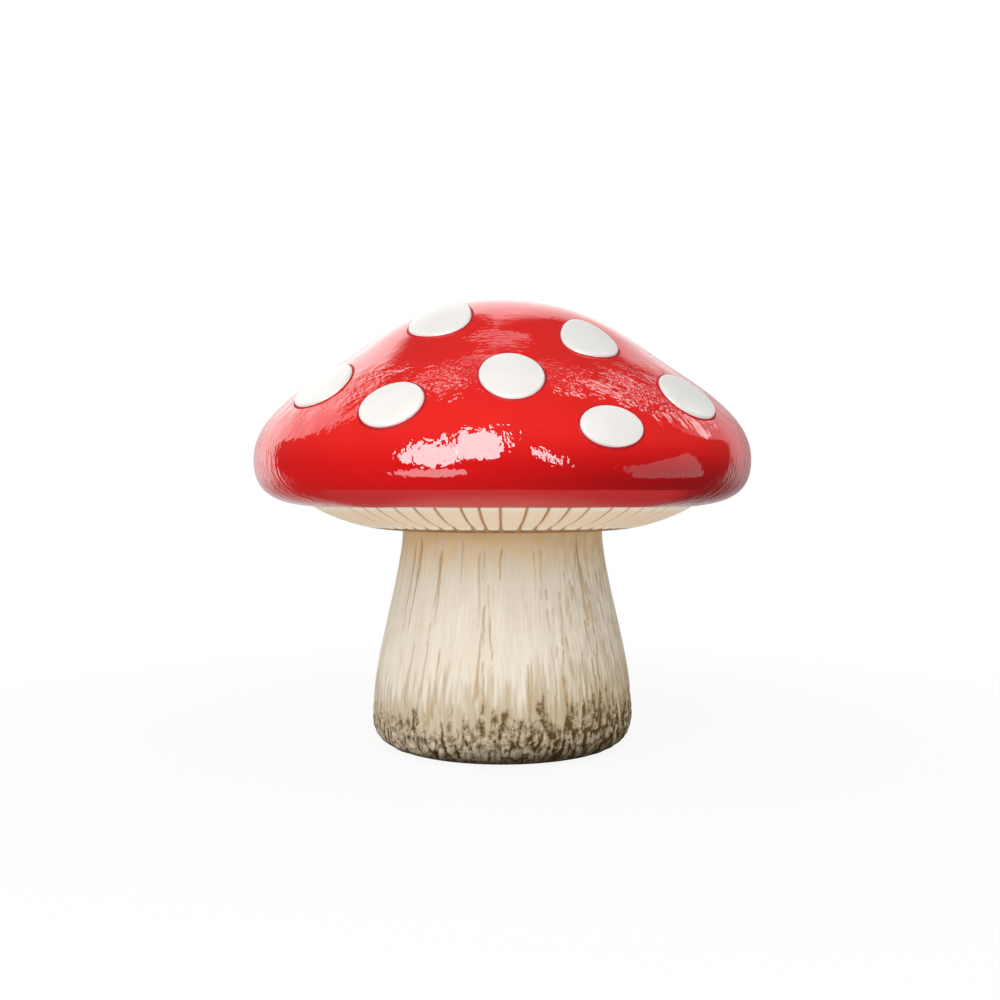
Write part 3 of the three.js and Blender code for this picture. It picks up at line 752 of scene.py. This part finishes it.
add_attribute(pan, "groove", np.clip(WASH_REACH - groove_reach, 0, 1) * on_gills)
add_attribute(pan, "outward", (radius - PAN_ROOT[0]) / (PAN_EDGE[0] - PAN_ROOT[0]))
print("grooves:", GILL_COUNT, "deepest", round(float(press.max()), 2), "mm")

# %% [markdown]
# The gills are sprayed with a warm cream satin paint. A brown wash was then wiped over them and stays
# in the grooves. Next to the stem they are painted darker as painted shade, and the edge at the seam
# and the noses of the ribs are painted paler as painted highlights.

# %% Gill paint
GILL_CLOUD, GILL_GRAIN = 14, 2.5

gill_paint, tree, shader, place = new_material("cream satin paint with brown wash")
in_groove, outward = (add_node(tree, "ShaderNodeAttribute", {"attribute_name": name}).outputs["Fac"]
                      for name in ("groove", "outward"))
cloud, fine = (add_node(tree, "ShaderNodeTexNoise", None, {
    "Vector": place, "Scale": 1 / (size * MM), "Detail": detail}).outputs["Fac"]
    for size, detail in ((GILL_CLOUD, 3.0), (GILL_GRAIN, 2.0)))
band = {
    # what is measured, where the change starts and ends, and the amount before and after it
    "near_edge": (outward, 0.91, 0.98, 0.0, 1.0),
    "near_nose": (outward, 0.54, 0.45, 0.0, 1.0),
    "near_stem": (outward, 0.42, 0.34, 0.0, 1.0),
    "wash": (in_groove, 0.15, 0.85, 0.0, 0.88),
}
for name, measures in band.items():
    band[name] = add_node(tree, "ShaderNodeMapRange", SMOOTH, measures).outputs[0]
# The paler seam edge and rib noses are painted highlights, and the darker zone next to the stem is
# painted shade.
painted_edge_highlight = add_node(tree, "ShaderNodeMath", {"operation": "ADD", "use_clamp": True}, (
    band["near_edge"], band["near_nose"])).outputs[0]
colour = linear("f2d7b5")
for covered, paint in (
        (cloud, "f8e4c9"), (painted_edge_highlight, "f8ebd6"), (band["near_stem"], "8c6231"), (band["wash"], "bd8241")):
    colour = add_node(tree, "ShaderNodeMix", COLOURS, {
        FACTOR: covered, FIRST: colour, SECOND: linear(paint)}).outputs[MIXED]
relief = add_node(tree, "ShaderNodeBump", None, {
    "Height": fine, "Strength": 0.4, "Distance": 0.3 * MM}).outputs[0]
set_inputs(tree, shader, {"Base Color": colour, "Normal": relief, "Roughness": 0.55})
finish_piece(pan, gill_paint, "gill_paint", "gill_pan")

# %% [markdown]
# ## Stem
#
# The stem is a hollow flared moulding with the surface of a real stalk: fine upright fibres, a few
# long cracks, and a crust of earth round the foot. The mould was taken from a carved master, so these
# are relief and not only paint. The section is turned in steps of about a millimetre, and each vertex
# of the outside is then moved along its normal by noise that is stretched upright. The same noise is
# kept on the mesh as masks, so that the paint follows the relief.

# %% Stem outline
NECK_RADIUS = 102
NECK_HEIGHT = 216.5
NECK_TOP = 219.5
FOOT_RADIUS = stem_high.x
FOOT_HEIGHT = 46
FOOT_FILLET = 25
FLARE_PULLS = (0.24, 0.24)
FLARE_POINTS, STRAIGHT_POINTS, FILLET_POINTS = 92, 12, 16
STEM_TOP = stem_high.z
STEM_WALL = 4
FOOT_WALL = 6  # thicker, because the pits of the crust cut into it
FLANGE_WALL = 5
RECESS_RADIUS = 105
BOARD_THICKNESS = 12
FLANGE_INNER = 85
RING_INNER = 65.5
INNER_FOOT = FOOT_RADIUS - FOOT_WALL
INNER_WAIST = (112, 130)
INNER_NECK = (NECK_RADIUS - STEM_WALL, 200)

flare = sweep((NECK_RADIUS, NECK_HEIGHT), 90, (FOOT_RADIUS, FOOT_HEIGHT), 90, FLARE_PULLS, FLARE_POINTS)
straight = [Vector((FOOT_RADIUS, z)) for z in np.linspace(FOOT_HEIGHT, FOOT_FILLET, STRAIGHT_POINTS)[1:]]
fillet = []
for k in range(1, FILLET_POINTS + 1):
    angle = math.pi / 2 * k / FILLET_POINTS
    fillet.append(Vector((FOOT_RADIUS - FOOT_FILLET * (1 - math.cos(angle)),
                          FOOT_FILLET * (1 - math.sin(angle)))))
neck = [Vector((NECK_RADIUS, STEM_TOP)), Vector((NECK_RADIUS, NECK_TOP))]
outside = neck + flare + straight + fillet
base_flange = BOARD_THICKNESS + FLANGE_WALL
inside = [Vector(point) for point in (
    (RECESS_RADIUS, 0), (RECESS_RADIUS, BOARD_THICKNESS), (FLANGE_INNER, BOARD_THICKNESS),
    (FLANGE_INNER, base_flange), (INNER_FOOT, base_flange), (INNER_FOOT, FOOT_HEIGHT), INNER_WAIST,
    INNER_NECK, (INNER_NECK[0], STEM_TOP - FLANGE_WALL), (RING_INNER, STEM_TOP - FLANGE_WALL),
    (RING_INNER, STEM_TOP))]
stem_outline = outside + inside + [outside[0]]
print("stem outline:", len(outside), "points outside,", len(inside), "inside")

# %% Stem relief
STEM_STEPS = 640
GRAIN_RADIUS = 115  # every height is seen on one cylinder, so that fibres stay upright on the flare
FIBRES = ((8, 60, 0.55), (2.6, 26, 0.32))  # width, length and height
CRACK_DEPTH, CRUST_CRACK = 0.5, 1.2  # in the paint and in the crust
CRACKS = (
    # how many, headings in degrees, height of the wide end, length down, half width
    (38, (-180, 180), (195, 217), (25, 120), (1.6, 3.2)),
    (46, (-180, 180), (34, 62), (-80, -20), (1.8, 3.6)),
    (30, (-180, 180), (80, 180), (25, 85), (1.2, 2.2)),
    (110, (18, 84), (55, 205), (8, 36), (1.4, 2.7)),
)
BENDS = ((8, 0.9, 0), (40, 3, 7))  # length of a crack's bends, how far they go aside, and a seed
CRACK_POINTS = 40  # along its path
CRACK_OPENS = 0.12  # share of its length over which it opens to its full width
CRACK_TAPER, CRACK_FLANK = 0.7, 1.4  # powers for how it narrows along its length and to its sides
CRACK_STRENGTHS = (0.55, 1.3)
CRACK_HIDDEN = 0.6  # share that the crust hides
HAIR = 0.001  # keeps a divisor above zero
CRUST_TOP = 52
CRUST_SLOPE = 8  # how much higher it is at the right edge than in the middle
CRUST_RAGGED = 26  # heights over which its top edge thins out
CRUST_EDGE, STREAK_EDGE, STAIN_EDGE = (-0.4, 0.75), (-0.3, 0.6), (-0.7, 0.7)  # where each sets in
LUMPS = ((5, 1.0), (2.7, 0.7))  # size and height
FOLDS = (11, 34, 3.6)  # width, length and height of the roots in the crust
FOLD_SEED = 43
FOLD_MEAN = 0.2  # of their noise, so that the crust grows about as much as it is cut
PILE_SINK = 0.3
CREVICE_WIDTH, CREVICE_SHADE = 0.16, 0.55  # between two folds
# width, length and seed of upright patterns
STREAKS, TAILS, HILLS, DRIPS = (4, 40, 31), (3.4, 30, 23), (17, 60, 29), (2.4, 26, 37)
BITS, BLOTS = 6, 11  # sizes
WASH_HEIGHTS = (165, 228)
STAIN_ABOVE, STAIN_RAGGED = 18, 36  # how far the stain reaches over the crust, and its ragged edge
STREAKY_SIDE = (0, 105)  # x over which the grey-brown streaks of the right side set in
LEFT_SIDE_STREAKS = 0.15  # streaks on the left side, for 1 on the right
GROUND_FADE = (0, 9)  # heights over which the relief dies away to the ground

stem = draw_outline("stem_moulding", stem_outline)
add_attribute(stem, "outer", [0.0] + [1.0] * (len(outside) - 2) + [0.5] + [0.0] * (len(inside) + 1))
spin_outline(stem, STEM_STEPS)
places = vertex_values(stem.data.vertices, "co", 3) / MM
normals = vertex_values(stem.data.vertex_normals, "vector", 3)
outer = vertex_values(stem.data.attributes["outer"].data, "value", 1)[:, 0]
around_axis = np.arctan2(places[:, 0], -places[:, 1])
grain = np.column_stack([np.sin(around_axis) * GRAIN_RADIUS, -np.cos(around_axis) * GRAIN_RADIUS,
                         places[:, 2]])
masks = {name: np.zeros(len(places))
         for name in ("fibre", "wash", "crack", "dirt", "stain", "crust", "lump")}
rises = np.zeros(len(places))


def stretched(point, width, length, seed):
    return noise.noise(Vector((point[0] / width + seed, point[1] / width, point[2] / length + seed)))


def crack_masks():
    """How open a crack is at each vertex: wide at one end, wandering, and tapered to the other."""
    chance = random.Random(5)
    deepest = np.zeros(len(places))
    for count, *spans in CRACKS:
        for _ in range(count):
            heading, start, length, half = (chance.uniform(*span) for span in spans)
            seed = chance.uniform(0, 100)
            shares = np.linspace(0, 1, CRACK_POINTS)
            wander = [sum(far * noise.noise(Vector((share * length / bend, seed, other)))
                          for bend, far, other in BENDS) for share in shares]
            share = (start - grain[:, 2]) / length
            path = math.radians(heading) + np.interp(share, shares, wander) / GRAIN_RADIUS
            aside = np.abs((around_axis - path + math.pi) % math.tau - math.pi) * GRAIN_RADIUS
            taper = np.clip(share / CRACK_OPENS, 0, 1) * np.clip(1 - share, 0, 1) ** CRACK_TAPER
            open_here = np.clip(1 - aside / (half * taper + HAIR), 0, 1) ** CRACK_FLANK
            deepest = np.maximum(deepest, open_here * chance.uniform(*CRACK_STRENGTHS))
    return np.minimum(deepest, 1)


cracks = crack_masks()
# the weights of the patterns in each sum were matched to the photograph
for i in np.nonzero(outer)[0]:
    point = [float(v) for v in grain[i]]
    x, z = float(places[i, 0]), point[2]
    fibres = [stretched(point, width, length, 3 * k) for k, (width, length, _) in enumerate(FIBRES)]
    streak, tails, hills, drips = (
        stretched(point, *pattern) for pattern in (STREAKS, TAILS, HILLS, DRIPS))
    bits, blots = (noise.noise(Vector(point) / size) for size in (BITS, BLOTS))
    lumps = [noise.noise(Vector(places[i]) / size) for size, _ in LUMPS]
    fold = abs(stretched(point, FOLDS[0], FOLDS[1], FOLD_SEED))
    side = smooth(*STREAKY_SIDE, x)
    over_top = CRUST_TOP + CRUST_SLOPE * x / FOOT_RADIUS - z
    crust = smooth(*CRUST_EDGE, over_top / CRUST_RAGGED + 0.9 * tails + 0.6 * hills + 0.3 * bits)
    # The crevices between folds are painted shade, laid into the same mask as the cracks.
    crevice = CREVICE_SHADE * smooth(CREVICE_WIDTH, 0, fold) * crust
    crack = max(cracks[i] * (1 - CRACK_HIDDEN * crust), crevice)
    masks["fibre"][i] = 0.5 + 0.4 * fibres[0] + 0.3 * fibres[1] + 0.25 * blots
    masks["crack"][i] = crack
    masks["wash"][i] = smooth(*WASH_HEIGHTS, z + 16 * streak + 9 * blots + 6 * fibres[0])
    dirt = smooth(*STREAK_EDGE, blots + 0.7 * drips + 0.5 * side - 0.25)
    masks["dirt"][i] = dirt * (LEFT_SIDE_STREAKS + (1 - LEFT_SIDE_STREAKS) * side)
    stain = (over_top + STAIN_ABOVE) / STAIN_RAGGED + 1.1 * drips + 0.5 * hills
    masks["stain"][i] = smooth(*STAIN_EDGE, stain)
    masks["crust"][i] = crust
    masks["lump"][i] = 0.5 + 0.5 * lumps[0] + 0.5 * lumps[1]
    relief = sum(height * value for (_, _, height), value in zip(FIBRES, fibres)) - CRACK_DEPTH * crack
    pile = sum(height * value for (_, height), value in zip(LUMPS, lumps)) - PILE_SINK
    pile += FOLDS[2] * (fold - FOLD_MEAN) - CRUST_CRACK * cracks[i]
    rises[i] = relief * (1 - crust) + pile * crust * smooth(*GROUND_FADE, z)

places += normals * (rises * outer)[:, None]
places[:, 2] = np.maximum(places[:, 2], 0)
stem.data.vertices.foreach_set("co", (places * MM).ravel())
stem.data.update()
for name, values in masks.items():
    add_attribute(stem, name, values)
add_attribute(stem, "grain", grain * MM)
print("stem relief from", round(rises.min(), 2), "to", round(rises.max(), 2), "mm")

# %% [markdown]
# The paint is a satin cream. An ochre wash runs down from the neck and stays in the cracks, and the
# crevices between the folds of the crust are painted darker with it as painted shade. The right side
# has more grey-brown streaks than the left. The crust on the foot is earth, with painted highlights on
# the lump tops, painted shade in its pits and towards its right side, and pits that get darker towards
# the bottom. Where it meets the ground it is almost black with painted shade, in a band that is
# thinner on the left.

# %% Stem paint
THREADS, SMEARS = (1.0, 24), (2.4, 13)  # width and length
GRIT = 1.4
GROUND_HEIGHT = 1  # under this the painted ground shade is as dark as it gets
DARKEST = 0.94

stem_paint, tree, shader, place = new_material("cream satin paint with earth crust")
across, _, height = add_node(tree, "ShaderNodeSeparateXYZ", None, {"Vector": place}).outputs
mask = {name: add_node(tree, "ShaderNodeAttribute", {"attribute_name": name}).outputs["Fac"]
        for name in masks}
grain_place = add_node(tree, "ShaderNodeAttribute", {"attribute_name": "grain"}).outputs["Vector"]
upright = []
for width, length in (THREADS, SMEARS):
    along = add_node(tree, "ShaderNodeMapping", None, {
        "Vector": grain_place, "Scale": (1, 1, width / length)}).outputs[0]
    upright.append(add_node(tree, "ShaderNodeTexNoise", None, {
        "Vector": along, "Scale": 1 / (width * MM), "Detail": 2.0}).outputs["Fac"])
threads, smears = upright
grit = add_node(tree, "ShaderNodeTexNoise", None, {
    "Vector": place, "Scale": 1 / (GRIT * MM), "Detail": 2.0}).outputs["Fac"]
heap = mask["lump"]
for texture in (grit, smears):
    heap = add_node(tree, "ShaderNodeMath", ADD, (heap, texture)).outputs[0]
band = {
    # what is measured, where the change starts and ends, and the amount before and after it
    "thin": (threads, 0.52, 0.3, 0.0, 0.3),
    "rubbed": (heap, 0.84, 2.06, 0.0, 1.0),
    "shaded": (across, -0.06, 0.1, 0.0, 0.25),
    "wet_height": (across, -0.11, 0.02, 14 * MM, 27 * MM),
    "drier": (height, 14 * MM, 52 * MM, 0.0, 1.0),
    "thick": (mask["crust"], 0.25, 0.95, 0.0, 1.0),
}
for name, measures in band.items():
    band[name] = add_node(tree, "ShaderNodeMapRange", SMOOTH, measures).outputs[0]

colour = add_node(tree, "ShaderNodeMix", COLOURS, {
    FACTOR: mask["fibre"], FIRST: linear("e0d6c1"), SECOND: linear("eee7da")}).outputs[MIXED]
for covered, most, paint in (
        # what lies there, how much of it at most, and its colour
        (band["thin"], 1.0, "cbb994"), (mask["wash"], 0.95, "f0cb90"), (mask["dirt"], 0.32, "b3a37e"),
        (mask["stain"], 0.6, "ae966c"), (mask["crack"], 0.75, "ab7f3c")):
    amount = add_node(tree, "ShaderNodeMath", {"operation": "MULTIPLY", "use_clamp": True}, (
        covered, most)).outputs[0]
    colour = add_node(tree, "ShaderNodeMix", COLOURS, {
        FACTOR: amount, FIRST: colour, SECOND: linear(paint)}).outputs[MIXED]
# The crust's pale lump tops are painted highlights, its pits and its right side are painted shade, and
# the pits get darker towards the bottom.
darkened = add_node(tree, "ShaderNodeMath", ADD, (mask["crack"], band["shaded"])).outputs[0]
tops = add_node(tree, "ShaderNodeMath", {"operation": "SUBTRACT", "use_clamp": True}, (
    band["rubbed"], darkened)).outputs[0]
in_pits = add_node(tree, "ShaderNodeMix", COLOURS, {
    FACTOR: band["drier"], FIRST: linear("4c370f"), SECOND: linear("765b32")}).outputs[MIXED]
earth = add_node(tree, "ShaderNodeMix", COLOURS, {
    FACTOR: tops, FIRST: in_pits, SECOND: linear("e1cfb2")}).outputs[MIXED]
# The near-black band along the ground is painted shade, taller on the right.
ground_painted_shade = add_node(tree, "ShaderNodeMapRange", SMOOTH, (
    height, band["wet_height"], GROUND_HEIGHT * MM, 0.0, DARKEST)).outputs[0]
for covered, paint in ((band["thick"], earth), (ground_painted_shade, linear("2c1f05"))):
    colour = add_node(tree, "ShaderNodeMix", COLOURS, {
        FACTOR: covered, FIRST: colour, SECOND: paint}).outputs[MIXED]
thread_bump = add_node(tree, "ShaderNodeBump", None, {
    "Height": threads, "Strength": 0.5, "Distance": 0.2 * MM}).outputs[0]
relief = add_node(tree, "ShaderNodeBump", None, {
    "Height": heap, "Strength": mask["crust"], "Distance": 1.6 * MM, "Normal": thread_bump}).outputs[0]
set_inputs(tree, shader, {
    "Base Color": colour, "Normal": relief, "Roughness": 0.75, "Specular IOR Level": 0.06})
finish_piece(stem, stem_paint, "stem_paint", "stem_shell")

# %% [markdown]
# ## Inside and underneath
#
# The plywood rings, the base board and the fasteners keep the shape that they have in the model. They
# only need a finish. Birch plywood shows long, low-contrast grain on its faces and stripes of its
# plies on its edges. Zinc-plated steel is a pale, slightly blue metal with a soft, cloudy shine.

# %% Birch plywood
PLY = 1.4
WOOD_GRAIN = 4
GRAIN_SHARE = 0.06  # of the pattern's pace along the grain
WAVE_PERIOD = math.pi / 10  # of a wave texture at scale 1

plywood, tree, shader, place = new_material("birch plywood")
along = add_node(tree, "ShaderNodeMapping", None, {
    "Vector": place, "Scale": (GRAIN_SHARE, 1, 1)}).outputs[0]
wood = add_node(tree, "ShaderNodeTexNoise", None, {
    "Vector": along, "Scale": 1 / (WOOD_GRAIN * MM), "Detail": 4.0}).outputs["Fac"]
plies = add_node(tree, "ShaderNodeTexWave", {"bands_direction": "Z"}, {
    "Vector": place, "Scale": 1 / (2 * PLY * MM) * WAVE_PERIOD, "Distortion": 0.4}).outputs["Fac"]
normal = add_node(tree, "ShaderNodeNewGeometry").outputs["Normal"]
upward = add_node(tree, "ShaderNodeSeparateXYZ", None, {"Vector": normal}).outputs["Z"]
is_face = add_node(tree, "ShaderNodeMath", {"operation": "ABSOLUTE"}, (upward,)).outputs[0]
face, edge = (add_node(tree, "ShaderNodeMix", COLOURS, {
    FACTOR: pattern, FIRST: linear(dark), SECOND: linear(pale)}).outputs[MIXED]
    for pattern, dark, pale in ((wood, "b98f5c", "dcbf93"), (plies, "8a6238", "cfae7e")))
colour = add_node(tree, "ShaderNodeMix", COLOURS, {
    FACTOR: is_face, FIRST: edge, SECOND: face}).outputs[MIXED]
relief = add_node(tree, "ShaderNodeBump", None, {
    "Height": wood, "Strength": 0.4, "Distance": 0.3 * MM}).outputs[0]
set_inputs(tree, shader, {"Base Color": colour, "Normal": relief, "Roughness": 0.7})
print(plywood.name, len(tree.nodes), "nodes")

# %% Zinc-plated steel
ZINC_CLOUD = 3
ZINC_ROUGHNESS = (0.26, 0.42)

zinc_steel, tree, shader, place = new_material("zinc-plated steel")
cloud = add_node(tree, "ShaderNodeTexNoise", None, {
    "Vector": place, "Scale": 1 / (ZINC_CLOUD * MM), "Detail": 3.0}).outputs["Fac"]
colour = add_node(tree, "ShaderNodeMix", COLOURS, {
    FACTOR: cloud, FIRST: linear("a3a8ae"), SECOND: linear("ced2d4")}).outputs[MIXED]
shine = add_node(tree, "ShaderNodeMapRange", None, (cloud, 0.0, 1.0, *ZINC_ROUGHNESS)).outputs[0]
set_inputs(tree, shader, {"Base Color": colour, "Roughness": shine, "Metallic": 1.0})
print(zinc_steel.name, len(tree.nodes), "nodes")

# %% Finishes on the model's own pieces
WOODEN = ("cap_ring", "neck_ring", "base_board")
FASTENERS = ("joint_bolt", "joint_washer", "tee_nut", "base_screw")
for name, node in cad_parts.items():
    is_wood = name in WOODEN
    if is_wood or name.startswith(FASTENERS):
        node.data.materials.clear()
        node.data.materials.append(plywood if is_wood else zinc_steel)
        print(name, "in", node.data.materials[0].name)
